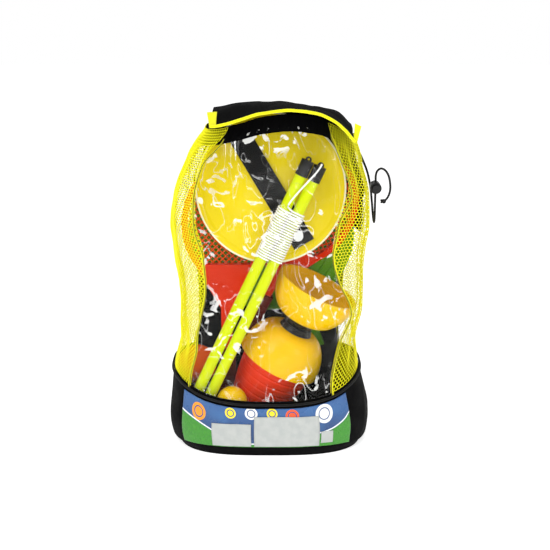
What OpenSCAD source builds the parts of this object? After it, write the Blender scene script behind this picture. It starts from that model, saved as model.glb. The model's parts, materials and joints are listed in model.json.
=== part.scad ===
// Children's outdoor sports set in a standing net backpack with a clear film front.
// Millimetres, +Z up, front of the bag towards -Y, origin at the middle of the base.

/* [Bag] */
// Half width of the bag at the base
base_half_w = 117; // [112:1:122]
// Half depth of the bag at the base
base_half_d = 75; // [73:1:80]
// Height of the black base at the sides
base_side_h = 91; // [85:1:95]
// Height of the black base at the middle of the front
base_front_h = 66; // [62:1:70]
// Thickness of the base fabric and its stiffener
base_wall = 2.4; // [2:0.1:3]
// Height of the mouth of the bag at the front
mouth_h = 384; // [383:1:388]
// Height of the black collar round the mouth
collar_h = 18; // [14:1:22]
// Thickness of the collar fabric
collar_wall = 1.6; // [1.2:0.1:2]
// Thickness of the clear film
film_t = 0.8; // [0.6:0.1:1]
// Thickness of the net
net_t = 1.0; // [0.8:0.1:1.2]
// Diameter of the piping on the rim of the base
piping_d = 3; // [2.5:0.1:4]

/* [Hood] */
// Thickness of the hood fabric
hood_t = 1.6; // [1.2:0.1:2]
// How far the hood reaches over the front
hood_front = 58; // [54:1:60]
// Height of the hood's crown over its front edge
hood_crown = 7; // [5:0.5:8]
// Diameter of the yellow binding
binding_d = 3.6; // [3:0.1:4]

/* [Carrying straps] */
// Width of the shoulder webbing
strap_w = 22; // [18:1:26]
// Thickness of the shoulder webbing
strap_t = 2.4; // [2:0.2:3]
// Distance of each strap from the middle of the back
strap_x = 48; // [44:1:52]
// How far the shoulder strap stands off the back panel
strap_gap = 12; // [10:1:16]
// Travel of each strap adjuster
adjuster_travel = 60; // [40:5:70]

/* [Cord lock] */
// Diameter of the cord lock barrel
lock_d = 13; // [11:0.5:15]
// Length of the cord lock barrel
lock_l = 16; // [14:1:18]
// Wall of the cord lock barrel
lock_wall = 2; // [1.6:0.1:2.2]
// Diameter of the drawcord
cord_d = 2.6; // [2.2:0.1:3]
// Travel of the cord lock's button
button_travel = 3.5; // [2.5:0.5:4]

/* [Catch disc] */
// Radius of the catch disc
disc_r = 84; // [80:1:85]
// Depth of the catch disc's rim
disc_depth = 9; // [8:1:10]
// Plate thickness of the catch disc
disc_t = 2.4; // [2:0.2:3]
// Width of the hand strap
hand_w = 25; // [22:1:28]

/* [Diabolo sticks] */
// Diameter of a stick
stick_d = 12.6; // [12:0.1:13.2]
// Bore of a stick
stick_bore = 9.6; // [9:0.1:10]
// Length of a stick
stick_l = 286; // [280:1:288]
// Diameter of a stick's end cap
cap_d = 14.4; // [14:0.1:15]
// Length of an end cap
cap_l = 18; // [16:1:20]
// Diameter of the wound string
string_d = 2.0; // [1.6:0.1:2.2]
// Turns of string round the two sticks
string_turns = 21; // [16:1:22]

/* [Diabolo] */
// Outer radius of a diabolo cup
cup_r = 48.5; // [46:0.5:49]
// Length of the whole diabolo
diabolo_l = 103; // [100:1:106]
// Wall of a cup
cup_t = 2.6; // [2.2:0.1:3]
// Radius of the black hub disc
hub_r = 20; // [16:1:22]
// Radius of the axle
axle_r = 4; // [3.5:0.1:5]

/* [Rackets and bat] */
// Half width of a racket head
racket_a = 50; // [46:1:52]
// Half height of a racket head
racket_b = 70; // [66:1:72]
// Thickness of a racket
racket_t = 7; // [6:0.5:8]
// Pitch of the racket's strings
lattice = 11; // [10:1:14]
// Radius of the bat's round head
bat_r = 98; // [94:1:99]
// Thickness of the bat
bat_t = 6; // [5:0.5:7]

/* [Balls and cup] */
// Radius of the yellow play ball
ball_r = 17.5; // [16:0.5:17.5]
// Radius of the orange soft ball
soft_r = 23; // [21:0.5:24]
// Rim radius of the ribbed cup
ribbed_r = 42; // [40:0.5:43]

/* [Hidden] */
$fn = 64;
seat = 0.3;
square_power = 3;

// Size of the bag in which the toys' places below were laid out
packed_w = 117;
packed_d = 75;
packed_h = 384;
wide = base_half_w / packed_w;
deep = base_half_d / packed_d;
rise = mouth_h - packed_h;

// Stations of the bag's body: height, left, right, front and back, as shares of the base size
BODY = [[0, 0.90, 0.93, 1.02, 0.86], [10, 0.975, 0.995, 1.05, 0.97], [30, 1, 1.01, 1.06, 1],
    [60, 0.975, 0.97, 1.05, 1], [92, 0.94, 0.90, 1.02, 0.99], [125, 0.87, 0.87, 0.99, 0.97],
    [162, 0.87, 0.93, 0.985, 0.95], [205, 0.90, 0.93, 0.95, 0.92], [232, 0.93, 0.95, 0.92, 0.90],
    [256, 0.945, 0.98, 0.91, 0.88], [290, 0.915, 0.97, 0.87, 0.83], [330, 0.78, 0.88, 0.80, 0.75],
    [350, 0.68, 0.83, 0.74, 0.69], [366, 0.59, 0.77, 0.65, 0.64], [390, 0.55, 0.73, 0.57, 0.59]];
function share(z, i) = lookup(z, [for (s = BODY) [s[0], s[i]]]);

// Angle of the film's two side seams from the X axis, against height share
SEAM_LEFT = [[0, 38], [0.35, 49], [0.65, 46], [1, 34]];
SEAM_RIGHT = [[0, 49], [0.2, 35], [0.45, 51], [0.65, 45], [0.8, 38], [1, 45]];

// Arch of the hood's front edge, across the bag
ARCH = [[-62, 373], [-30, 380], [-7, 387], [22, 390], [50, 387], [71, 378], [82, 369], [94, 357]];
function arch(x) = lookup(x / wide, ARCH) + rise;
hinge_y = 47;
hinge_z = mouth_h - 7;

function spow(v, p) = sign(v) * pow(abs(v), p);
function half_w(z, left) = base_half_w * share(z, left ? 1 : 2);
function half_d(z, front) = base_half_d * share(z, front ? 3 : 4);
// Point of the bag's wall at angle t (0 is +X, -90 is the front) and height z, moved inward
function wall(t, z, inward = 0) =
    [(half_w(z, cos(t) < 0) - inward) * spow(cos(t), 2 / square_power),
     (half_d(z, sin(t) < 0) - inward) * spow(sin(t), 2 / square_power), z];
function base_top(t) = sin(t) < 0
    ? base_side_h - (base_side_h - base_front_h) * pow(-sin(t), 2.2) : base_side_h;
// Height of the collar's upper edge: under the hood's arch at the front, level at the back
function collar_top(t) = let (x = wall(t, mouth_h)[0], w = (1 - sin(t)) / 2)
    w * (arch(x) - 6) + (1 - w) * min(arch(x) - 6, hinge_z - hood_t - seat);
function body_top(t) = collar_top(t) - collar_h;
function body_z(t, s) = let (a = base_top(t) + seat) a + s * (body_top(t) - seat - a);

// Faces of a closed shell made of an outer and an inner grid of n rows by m points
function grid_faces(n, m) = let (k = n * m, id = function (g, i, j) g * k + i * m + j) concat(
    [for (i = [0:n - 2], j = [0:m - 2]) each [
        [id(0, i, j), id(0, i + 1, j), id(0, i + 1, j + 1)],
        [id(0, i, j), id(0, i + 1, j + 1), id(0, i, j + 1)],
        [id(1, i, j), id(1, i + 1, j + 1), id(1, i + 1, j)],
        [id(1, i, j), id(1, i, j + 1), id(1, i + 1, j + 1)]]],
    [for (i = [0:n - 2]) each [
        [id(0, i, 0), id(1, i, 0), id(1, i + 1, 0)],
        [id(0, i, 0), id(1, i + 1, 0), id(0, i + 1, 0)],
        [id(0, i, m - 1), id(1, i + 1, m - 1), id(1, i, m - 1)],
        [id(0, i, m - 1), id(0, i + 1, m - 1), id(1, i + 1, m - 1)]]],
    [for (j = [0:m - 2]) each [
        [id(0, 0, j), id(1, 0, j + 1), id(1, 0, j)],
        [id(0, 0, j), id(0, 0, j + 1), id(1, 0, j + 1)],
        [id(0, n - 1, j), id(1, n - 1, j), id(1, n - 1, j + 1)],
        [id(0, n - 1, j), id(1, n - 1, j + 1), id(0, n - 1, j + 1)]]]);
module sheet(outer, inner) {
    n = len(outer);
    m = len(outer[0]);
    polyhedron([for (row = outer) each row, for (row = inner) each row], grid_faces(n, m));
}

// A panel of the bag between two seams, each given as a function of the height share
module panel(from, to, rows, cols, thick) {
    points = function (inward) [for (i = [0:rows]) let (s = i / rows)
        [for (j = [0:cols]) let (t = from(s) + (to(s) - from(s)) * j / cols)
            wall(t, body_z(t, s), inward)]];
    sheet(points(0), points(thick));
}
left_seam = function (s) -180 + lookup(s, SEAM_LEFT);
right_seam = function (s) -lookup(s, SEAM_RIGHT);
left_back = function (s) -222;
right_back = function (s) 42;

// A tube swept along points, with flat ends
function unit(v) = v / norm(v);
function path_dir(p, i) =
    unit(p[min(i + 1, len(p) - 1)] - p[max(i - 1, 0)]);
function ring(c, d, r, sides, up) = let (a = unit(cross(d, up)), b = cross(a, d))
    [for (k = [0:sides - 1]) c + r * (cos(k * 360 / sides) * a + sin(k * 360 / sides) * b)];
module tube(p, r, sides = 8, up = [0, 1, 0]) {
    n = len(p);
    polyhedron([for (i = [0:n - 1]) each ring(p[i], path_dir(p, i), r, sides, up)], concat(
        [[for (k = [sides - 1:-1:0]) k]], [[for (k = [0:sides - 1]) (n - 1) * sides + k]],
        [for (i = [0:n - 2], k = [0:sides - 1]) let (q = (k + 1) % sides) each [
            [i * sides + k, i * sides + q, (i + 1) * sides + q],
            [i * sides + k, (i + 1) * sides + q, (i + 1) * sides + k]]]));
}

// ---- Bag ----
module base_tub() {
    cols = 48;
    floor_z = base_wall;
    outer = [0, 4, 10, 24, 45];
    angle = function (j) j * 360 / cols;
    rings = concat(
        [for (z = outer) [for (j = [0:cols - 1]) wall(angle(j), z)]],
        [[for (j = [0:cols - 1]) wall(angle(j), base_top(angle(j)))]],
        [[for (j = [0:cols - 1]) wall(angle(j), base_top(angle(j)), base_wall)]],
        [for (i = [len(outer) - 1:-1:1])
            [for (j = [0:cols - 1]) wall(angle(j), max(outer[i], floor_z), base_wall)]]);
    n = len(rings);
    color("#161616") polyhedron(
        concat([for (r = rings) each r], [[0, 0, 0], [0, 0, max(outer[1], floor_z)]]),
        concat([for (i = [0:n - 2], j = [0:cols - 1]) let (q = (j + 1) % cols) each [
                [i * cols + j, (i + 1) * cols + j, (i + 1) * cols + q],
                [i * cols + j, (i + 1) * cols + q, i * cols + q]]],
            [for (j = [0:cols - 1]) [n * cols, j, (j + 1) % cols]],
            [for (j = [0:cols - 1]) [n * cols + 1, (n - 1) * cols + (j + 1) % cols,
                (n - 1) * cols + j]]));
}
function rim_point(t, out) = wall(t, base_top(t) - piping_d, -out);
module base_piping() {
    steps = 72;
    color("#101010") tube([for (k = [0:steps]) rim_point(-268 + k * 356 / steps,
        piping_d / 2 + 0.2)], piping_d / 2, 8, [0, 0, 1]);
}
label_from = -140;
label_to = -46;
label_t = 0.8;
label_low = 12;
function label_z(t, s) = label_low + s * (base_top(t) - piping_d * 1.5 - 3 - label_low);
module label_panel() {
    rows = 6;
    cols = 24;
    off = 0.5;
    points = function (out) [for (i = [0:rows]) [for (j = [0:cols])
        let (t = label_from + (label_to - label_from) * j / cols)
        wall(t, label_z(t, i / rows), -out)]];
    color("#2a63a8") sheet(points(off + label_t), points(off));
}
module blank_sticker(from, to, low, high) {
    off = 0.5 + label_t + 0.3;
    points = function (out) [for (i = [0:3]) [for (j = [0:8])
        let (t = from + (to - from) * j / 8) wall(t, low + (high - low) * i / 3, -out)]];
    sheet(points(off + 0.5), points(off));
}
module blank_stickers() {
    color("#c9ccd0") {
        blank_sticker(-114, -94, 13, 40);
        blank_sticker(-93, -70, 13, 49);
        blank_sticker(-69, -61, 16, 30);
    }
}
module window_film() color("#dfe8ea", 0.35) panel(left_seam, right_seam, 12, 18, film_t);
module net_left() color("#f4f000") panel(left_back, left_seam, 12, 12, net_t);
module net_right() color("#f4f000") panel(right_seam, right_back, 12, 12, net_t);
module back_panel() color("#1a1a1a") panel(right_back, function (s) 138, 12, 12, net_t);
module mouth_collar() {
    cols = 48;
    rows = 2;
    part = function (inward) [for (i = [0:rows]) [for (j = [0:cols])
        let (t = -222 + j * 359.6 / cols)
        wall(t, body_top(t) + collar_h * i / rows, inward)]];
    color("#141414") sheet(part(0), part(collar_wall));
}

// ---- Hood ----
hood_left = -61 * wide;
hood_right = 92 * wide;
function ramp(v) = let (u = max(0, min(1, v))) u * u * (3 - 2 * u);
function hood_z(x, y) = let (w = ramp((y + 10) / (hinge_y + 8)))
    arch(x) * (1 - w) + hinge_z * w + hood_crown * max(0, 1 - pow((y + 5) / 52, 2));
module hood() {
    cols = 22;
    rows = 14;
    back_y = hinge_y - 0.5;
    points = function (down) [for (i = [0:rows]) let (y = -hood_front + (back_y + hood_front) * i / rows)
        [for (j = [0:cols]) let (x = hood_left + (hood_right - hood_left) * j / cols)
            [x, y, hood_z(x, y) - down]]];
    color("#121212") sheet(points(0), points(hood_t));
}
module hood_binding() {
    steps = 24;
    y = -hood_front - binding_d / 2 - 0.1;
    color("#f0e800") tube([for (k = [0:steps])
        let (x = hood_left + (hood_right - hood_left) * k / steps)
        [x, y, hood_z(x, -hood_front) - hood_t / 2]], binding_d / 2, 8, [0, 1, 0]);
}
tab_w = 8;
tab_h = 16;
tab_t = 1.4;
module hood_tabs() color("#e6f000") {
    translate([hood_left - tab_w - 0.2, -hood_front, arch(hood_left) - 1]) cube([tab_w, tab_t, tab_h]);
    translate([hood_right + 0.2, -hood_front, arch(hood_right) - tab_h + 12])
        cube([tab_w, tab_t, tab_h]);
}

// ---- Carrying straps ----
strap_low = 70;
strap_high = 334;
strap_y = base_half_d * 0.99 + 0.6 + strap_gap;
function back_y(x, z) = let (a = half_w(z, x < 0), b = half_d(z, false))
    b * pow(1 - pow(abs(x) / a, square_power), 1 / square_power);
module strap(x) {
    rows = 24;
    run = 26;
    y_at = function (z) let (w = ramp((z - strap_low) / run) * ramp((strap_high - z) / (run * 2)),
        from = max(back_y(x - strap_w / 2, z), back_y(x + strap_w / 2, z)) + 0.7)
        from * (1 - w) + strap_y * w;
    points = function (out) [for (i = [0:rows])
        let (z = strap_low + (strap_high - strap_low) * i / rows)
        [for (side = [1, -1]) [x + side * strap_w / 2, y_at(z) + out, z]]];
    color("#1c1c1c") sheet(points(strap_t), points(0));
}
module strap_left() strap(-strap_x);
module strap_right() strap(strap_x);
adjuster_h = 24;
adjuster_stop = 214;
adjuster_z = adjuster_stop - adjuster_h - adjuster_travel;
adjuster_wall = 2.6;
adjuster_clear = 0.35;
module adjuster(x) {
    w = strap_w + 2 * (adjuster_clear + adjuster_wall);
    t = strap_t + 2 * (adjuster_clear + adjuster_wall);
    color("#0e0e0e") translate([x, strap_y + strap_t / 2, adjuster_z]) difference() {
        translate([-w / 2, -t / 2, 0]) cube([w, t, adjuster_h]);
        translate([-strap_w / 2 - adjuster_clear, -strap_t / 2 - adjuster_clear, -1])
            cube([strap_w + 2 * adjuster_clear, strap_t + 2 * adjuster_clear, adjuster_h + 2]);
        translate([-strap_w / 2, -t, adjuster_h * 0.3]) cube([strap_w, t, adjuster_h * 0.15]);
        translate([-strap_w / 2, -t, adjuster_h * 0.6]) cube([strap_w, t, adjuster_h * 0.15]);
    }
}
module adjuster_left() adjuster(-strap_x);
module adjuster_right() adjuster(strap_x);
loop_r = 15;
loop_w = 18;
loop_z = 318;
module grab_loop() color("#181818")
    translate([0, half_d(loop_z - loop_w / 2, false) + 0.5, loop_z]) rotate_extrude(angle = 180)
        translate([loop_r, -loop_w / 2]) square([strap_t, loop_w]);

// ---- Draw cord and its lock, on the right side of the bag ----
lock_x = 122.5 * wide;
lock_y = 8;
lock_z = 294 + rise;
ROUTE = [[97, 30, 348], [101, 31, 340], [108, 32, 325], [115, 32, 308], [119, 31, 290],
    [121, 29, 272], [122, 24, 258], [122.5, 16, 252], [122.5, 10, 255], [122.5, 8, 262],
    [122.5, 8, 270], [122.5, 8, 278], [122.5, 8, 286], [122.5, 8, 294], [122.5, 8, 302],
    [122.5, 8, 308], [124, 8, 313], [128, 8, 316], [133, 8, 314], [137, 8, 308], [139, 8, 300],
    [139.5, 8, 292], [138, 8, 285], [135, 8, 280], [131.5, 8, 278]];
CORD = [for (p = ROUTE) [p[0] * wide, p[1], p[2] + rise]];
module draw_cord() color("#111111") tube(CORD, cord_d / 2, 8, [0, 1, 0.2]);
anchor_d = 8;
anchor_w = 4;
module cord_anchor() color("#0d0d0d") translate(CORD[0]) rotate([0, -27, 0])
    translate([0, 0, 0.2]) cylinder(d = anchor_d, h = anchor_w);
cross_d = cord_d + 1;
button_d = lock_d - 2 * lock_wall - 0.3;
hole_from_front = 6;
front_y = lock_y - hole_from_front;
module cross_hole(h) translate([lock_x, lock_y, lock_z - h / 2]) cylinder(d = cross_d, h = h);
module along_y(y, d, h) translate([lock_x, y, lock_z]) rotate([-90, 0, 0]) cylinder(d = d, h = h);
module cord_lock_body() color("#0c0c0c") difference() {
    along_y(front_y, lock_d, lock_l);
    along_y(front_y - 1, lock_d - 2 * lock_wall, lock_l - lock_wall + 1);
    cross_hole(lock_d + 2);
}
spring_room = 4.5;
button_end = front_y + lock_l - lock_wall - spring_room;
button_proud = 4.5;
module cord_lock_button() color("#1d1d1d") difference() {
    along_y(front_y - button_proud, button_d, button_end - front_y + button_proud);
    hull() {
        cross_hole(lock_d + 2);
        translate([0, -button_travel, 0]) cross_hole(lock_d + 2);
    }
}
spring_wire = 0.7;
module cord_lock_spring() {
    turns = 3;
    per_turn = 8;
    from = button_end + spring_wire / 2 + 0.1;
    to = front_y + lock_l - lock_wall - spring_wire / 2 - 0.1;
    r = button_d / 2 - 1.2;
    count = turns * per_turn;
    color("silver") tube([for (k = [0:count]) let (a = k * 360 / per_turn)
        [lock_x + r * cos(a), from + (to - from) * k / count, lock_z + r * sin(a)]],
        spring_wire / 2, 6, [0, 1, 0]);
}

// ---- Catch disc: local +Z faces the front ----
disc_lean = 8;
disc_z = mouth_h - disc_r;
disc_y = -27.1 * deep + (disc_z - 305) * tan(disc_lean);
rim_w = 2;
disc_x = 2.5;
module on_disc() translate([disc_x, disc_y, disc_z]) rotate([90 - disc_lean, 0, 0]) children();
module catch_disc() color("#f2d800") on_disc() rotate_extrude($fn = 96) polygon([[0, -disc_t],
    [disc_r - 8, -disc_t], [disc_r - 5, -disc_depth], [disc_r - rim_w, -disc_depth],
    [disc_r - rim_w, 0], [disc_r - 6, 0], [disc_r - 9, -0.8], [0, -0.8]]);
module catch_disc_rim() color("#efe9bf") on_disc() rotate_extrude($fn = 96)
    polygon([[disc_r - rim_w, -disc_depth], [disc_r, -disc_depth], [disc_r, 0],
        [disc_r - 0.6, 0.6], [disc_r - rim_w, 0.6]]);
pile_t = 2.4;
module catch_disc_pile() color("#3a3a3a") on_disc() translate([0, 0, -disc_t - pile_t])
    cylinder(r = disc_r - 10, h = pile_t);
hand_l = 146;
hand_t = 2;
hand_rise = 2.6;
hand_turn = 31;
module catch_disc_strap() {
    steps = 20;
    half = hand_l / 2;
    u = function (k) -half + k * hand_l / steps;
    rise = function (x) -0.8 + hand_rise * ramp((half - abs(x) - 14) / 30);
    color("#151515") on_disc() rotate([0, 0, hand_turn]) rotate([90, 0, 90])
        translate([0, 0, -hand_w / 2]) linear_extrude(hand_w) polygon(concat(
            [for (k = [0:steps]) [u(k), rise(u(k))]],
            [for (k = [steps:-1:0]) [u(k), rise(u(k)) + hand_t]]));
}
pad_l = 13;
pad_t = 0.8;
module catch_disc_strap_pads() color("#26272a") on_disc() rotate([0, 0, hand_turn])
    for (end = [-1, 1]) translate([-hand_w / 2 + 1, end * (hand_l / 2 - pad_l / 2) - pad_l / 2,
        hand_t - 0.7]) cube([hand_w - 2, pad_l, pad_t]);

// ---- Diabolo sticks: local origin at the top of the two sticks, side by side along X ----
stick_gap = 0.4;
stick_half = (cap_d + stick_gap) / 2;
cap_top = 3;
module on_sticks() translate([48.5 * wide, -44 * deep, 327.7]) rotate([-2.0, 25.1, 0]) children();
module stick(side) color("#c8f000") on_sticks() translate([side * stick_half, 0, -stick_l])
    difference() {
        cylinder(d = stick_d, h = stick_l);
        translate([0, 0, -1]) cylinder(d = stick_bore, h = stick_l + 2);
    }
module stick_left() stick(-1);
module stick_right() stick(1);
eye_d = 7;
eye_w = 3.2;
module stick_top_caps() color("#111111") on_sticks() for (side = [-1, 1])
    translate([side * stick_half, 0, -cap_l + cap_top]) difference() {
        union() {
            cylinder(d = cap_d, h = cap_l);
            translate([0, eye_w / 2, cap_l + 1]) rotate([90, 0, 0]) cylinder(d = eye_d, h = eye_w);
        }
        translate([0, 0, -1]) cylinder(d = stick_d, h = cap_l - cap_top + 1);
        translate([0, eye_w, cap_l + 1.6]) rotate([90, 0, 0]) cylinder(d = 2.6, h = 2 * eye_w);
    }
plug_l = 12;
module stick_bottom_plugs() color("#b4dc00") on_sticks() for (side = [-1, 1])
    translate([side * stick_half, 0, -stick_l]) {
        cylinder(d = stick_bore, h = plug_l);
        translate([0, 0, -2]) cylinder(d = stick_d, h = 2);
    }
string_top = -54;
string_pitch = 2.9;
string_clear = 0.25;
STRING_LEAD = [[7.4, -3.4, 4.8], [7.2, -7.2, 5.8], [6.6, -9.1, 1.5], [5.0, -8.9, -6], [1.5, -8.9, -17],
    [-2.5, -8.8, -30], [-6, -8.7, -43], [-7, -8.6, -51]];
string_r = stick_d / 2 + string_d / 2 + string_clear;
function string_at(k) = let (turn = floor(k / 24), i = k % 24, right = i < 12,
    a = right ? -90 + i * 180 / 11 : 90 + (i - 12) * 180 / 11)
    [(right ? 1 : -1) * stick_half + string_r * cos(a), string_r * sin(a),
        string_top - string_pitch * k / 24];
string_count = string_turns * 24;
STRING = concat(STRING_LEAD, [[0, -string_r, string_top]],
    [for (k = [0:string_count - 1]) string_at(k)],
    [[0, -string_r, string_top - string_pitch * string_turns]]);
string_wound = [for (k = [0:string_count - 1]) string_at(k)];
string_gap = min([for (k = [0:string_count - 25], j = [20:28]) if (k + j < string_count)
    norm(string_wound[k + j] - string_wound[k])]) - string_d;
echo(least_gap_of_the_wound_string = string_gap);
module stick_string() color("#f3f3d8") on_sticks() tube(STRING, string_d / 2, 6, [0, 0.02, 1]);

// ---- Diabolo: local +Z along its axle ----
module on_diabolo() translate([35 * wide, -15.6 * deep, 138]) rotate([3.7, 26.2, 0]) children();
cup_floor = 8;
function cup_curve(a) = let (depth = diabolo_l / 2 - cup_floor)
    [hub_r + 1 + (cup_r - hub_r - 1) * sin(a), cup_floor + depth * (1 - cos(a))];
function cup_inner(a) = let (p = cup_curve(a)) [p[0] - cup_t * sin(a), p[1] + cup_t * cos(a)];
module cup() rotate_extrude($fn = 96) polygon(concat([[axle_r, cup_floor]],
    [for (a = [0:9:90]) cup_curve(a)], [for (a = [90:-9:0]) cup_inner(a)],
    [[axle_r, cup_floor + cup_t]]));
module diabolo_cup_top() color("#f0c800") on_diabolo() cup();
module diabolo_cup_bottom() color("#f0c800") on_diabolo() mirror([0, 0, 1]) cup();
hub_half = 1.4;
module diabolo_hubs() color("#0b0b0b") on_diabolo() for (side = [0, 1])
    mirror([0, 0, side]) rotate_extrude() polygon([[axle_r, hub_half], [hub_r - 3, hub_half],
        [hub_r, cup_floor], [axle_r, cup_floor]]);
nut_h = 3;
axle_half = cup_floor + cup_t + nut_h + 1;
module diabolo_axle() color("#8d9094") on_diabolo() {
    translate([0, 0, -axle_half]) cylinder(r = axle_r, h = 2 * axle_half);
    for (side = [0, 1]) mirror([0, 0, side]) translate([0, 0, cup_floor + cup_t])
        cylinder(r = axle_r + 3.5, h = nut_h, $fn = 6);
}

// ---- Ribbed cup nested in the diabolo's lower cup ----
ribbed_from = 42;
ribbed_l = 93.4;
ribbed_t = 2.2;
ribbed_end_r = 24;
ribs = 9;
function ribbed_radius(u) = ribbed_end_r + (ribbed_r - ribbed_end_r) * (1 - u * u);
module ribbed_cup() {
    pitch = (ribbed_l - 12) / ribs;
    color("#f43a05") on_diabolo() translate([0, 0, -ribbed_from]) mirror([0, 0, 1])
        rotate_extrude($fn = 96) polygon(concat(
            [for (i = [0:ribs - 1]) let (a = 4 + i * pitch, b = a + pitch * 0.6) each [
                [ribbed_radius(a / ribbed_l), a], [ribbed_radius(b / ribbed_l), b],
                [ribbed_radius(b / ribbed_l) - 1, b + pitch * 0.2]]],
            [[ribbed_end_r, ribbed_l], [0, ribbed_l], [0, ribbed_l - ribbed_t],
                [ribbed_end_r - ribbed_t, ribbed_l - ribbed_t]],
            [for (u = [0.8, 0.6, 0.4, 0.2, 0]) [ribbed_radius(u) - 1 - ribbed_t, u * ribbed_l]],
            [[ribbed_r, 0]]));
}
module play_ball() color("#f2d200") translate([-42 * wide, -54 * deep, 57]) sphere(r = ball_r, $fn = 96);
module soft_ball() color("#e0641e") translate([-84 * wide, -15 * deep, 88]) sphere(r = soft_r, $fn = 96);

// ---- Rackets: local +Y up the handle, +Z to the back, origin at the head's middle ----
frame_w = 7;
throat_l = 34;
handle_w = 13;
grip_w = 20;
grip_t = 11;
module oval(inset) polygon([for (a = [0:7.5:352.5])
    [(racket_a - inset) * cos(a), (racket_b - inset) * sin(a)]]);
throat_y = -racket_b + 22;
module racket_opening() intersection() {
    oval(frame_w);
    translate([-racket_a, throat_y]) square([2 * racket_a, 3 * racket_b]);
}
module racket_frame(handle_end) linear_extrude(racket_t, center = true) difference() {
    polygon(concat([for (a = [-45:7.5:225]) [racket_a * cos(a), racket_b * sin(a)]],
        [[-handle_w / 2, -racket_b - throat_l], [-handle_w / 2, handle_end],
            [handle_w / 2, handle_end], [handle_w / 2, -racket_b - throat_l]]));
    racket_opening();
}
string_w = 2.2;
module racket_net() linear_extrude(2.4, center = true) intersection() {
    racket_opening();
    union() for (turn = [45, -45], k = [-9:9])
        rotate(turn) translate([k * lattice - string_w / 2, -2 * racket_b])
            square([string_w, 4 * racket_b]);
}
module racket_grip(handle_end, length) difference() {
    translate([-grip_w / 2, handle_end - 2, -grip_t / 2]) cube([grip_w, length, grip_t]);
    translate([-handle_w / 2, handle_end, -racket_t / 2]) cube([handle_w, length + 1, racket_t]);
    for (i = [1:6]) translate([-grip_w, handle_end + i * length / 7, grip_t / 2 - 0.6])
        cube([2 * grip_w, 1.6, 1]);
}
left_z = 252;
left_lean = 8;
floor_top = 4;
module on_left_racket() translate([-49.6 * wide, -1.4 * deep, left_z])
    rotate([90 + left_lean, 0, 0]) children();
module on_right_racket() translate([50 * wide, 19.2 * deep, 262]) rotate([100, 0, 0]) rotate([0, 0, -27])
    children();
left_end = (floor_top + seat - left_z) / cos(left_lean) + 2.8;
right_end = -176;
grip_l = 92;
short_grip_l = 60;
module racket_left() color("#f03a10") on_left_racket() racket_frame(left_end);
module racket_left_net() color("#ff4a1c") on_left_racket() racket_net();
module racket_left_grip() color("#7a1408") on_left_racket() racket_grip(left_end, grip_l);
module racket_right() color("#f03a10") on_right_racket() racket_frame(right_end);
module racket_right_net() color("#ff4a1c") on_right_racket() racket_net();
module racket_right_grip() color("#7a1408") on_right_racket()
    racket_grip(right_end, short_grip_l);

// ---- Green bat ----
bat_handle_w = 24;
bat_handle_end = -160;
module on_bat() translate([3, 33.6 * deep, 232]) rotate([100, 0, 0]) rotate([0, 0, 20]) children();
module green_bat() color("#2fa51c") on_bat() difference() {
    union() {
        cylinder(r = bat_r, h = bat_t, center = true, $fn = 96);
        translate([-bat_handle_w / 2, bat_handle_end, -bat_t / 2])
            cube([bat_handle_w, -bat_handle_end, bat_t]);
    }
    for (r = [50:10:90]) rotate_extrude($fn = 96) translate([r, bat_t / 2 - 1]) square([3, 2]);
}

base_tub();
base_piping();
label_panel();
blank_stickers();
window_film();
net_left();
net_right();
back_panel();
mouth_collar();
hood();
hood_binding();
hood_tabs();
grab_loop();
strap_left();
strap_right();
adjuster_left();
adjuster_right();
cord_anchor();
draw_cord();
cord_lock_body();
cord_lock_spring();
cord_lock_button();
catch_disc();
catch_disc_rim();
catch_disc_pile();
catch_disc_strap();
catch_disc_strap_pads();
stick_left();
stick_right();
stick_top_caps();
stick_bottom_plugs();
stick_string();
diabolo_cup_top();
diabolo_cup_bottom();
diabolo_hubs();
diabolo_axle();
ribbed_cup();
play_ball();
soft_ball();
racket_left();
racket_left_net();
racket_left_grip();
racket_right();
racket_right_net();
racket_right_grip();
green_bat();
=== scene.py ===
import json
import math

import bmesh
import bpy
import numpy as np
from mathutils import Matrix, Vector, noise

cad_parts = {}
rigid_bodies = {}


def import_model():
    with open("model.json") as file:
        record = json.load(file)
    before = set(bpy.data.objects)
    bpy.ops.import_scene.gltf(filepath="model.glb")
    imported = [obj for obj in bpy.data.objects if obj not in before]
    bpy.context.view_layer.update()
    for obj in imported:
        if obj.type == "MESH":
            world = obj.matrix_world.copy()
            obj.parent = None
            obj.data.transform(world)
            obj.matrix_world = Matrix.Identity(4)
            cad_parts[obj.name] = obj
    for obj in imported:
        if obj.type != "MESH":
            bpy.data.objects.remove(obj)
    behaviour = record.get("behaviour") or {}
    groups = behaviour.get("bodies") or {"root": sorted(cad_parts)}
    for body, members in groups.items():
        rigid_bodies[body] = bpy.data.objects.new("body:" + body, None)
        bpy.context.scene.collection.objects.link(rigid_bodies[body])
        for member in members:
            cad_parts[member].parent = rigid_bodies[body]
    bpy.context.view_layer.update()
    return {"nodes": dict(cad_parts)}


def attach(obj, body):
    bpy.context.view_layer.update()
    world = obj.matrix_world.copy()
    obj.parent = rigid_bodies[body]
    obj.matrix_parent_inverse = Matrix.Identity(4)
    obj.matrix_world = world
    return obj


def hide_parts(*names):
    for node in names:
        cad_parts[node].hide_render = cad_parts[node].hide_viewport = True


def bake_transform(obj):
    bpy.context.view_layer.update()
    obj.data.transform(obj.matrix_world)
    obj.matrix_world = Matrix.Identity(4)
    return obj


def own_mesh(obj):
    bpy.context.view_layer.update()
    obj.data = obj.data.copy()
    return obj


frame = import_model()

NODES = frame["nodes"]
MM = 0.001

# ---- camera
CAM_DISTANCE = 1.2
CAM_ELEVATION = math.radians(15)
CAM_AIM_Z = 0.205
IMAGE = 550
AIM_PX = (268.5, 264.4)
FOCAL_PX = 1034.5


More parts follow.
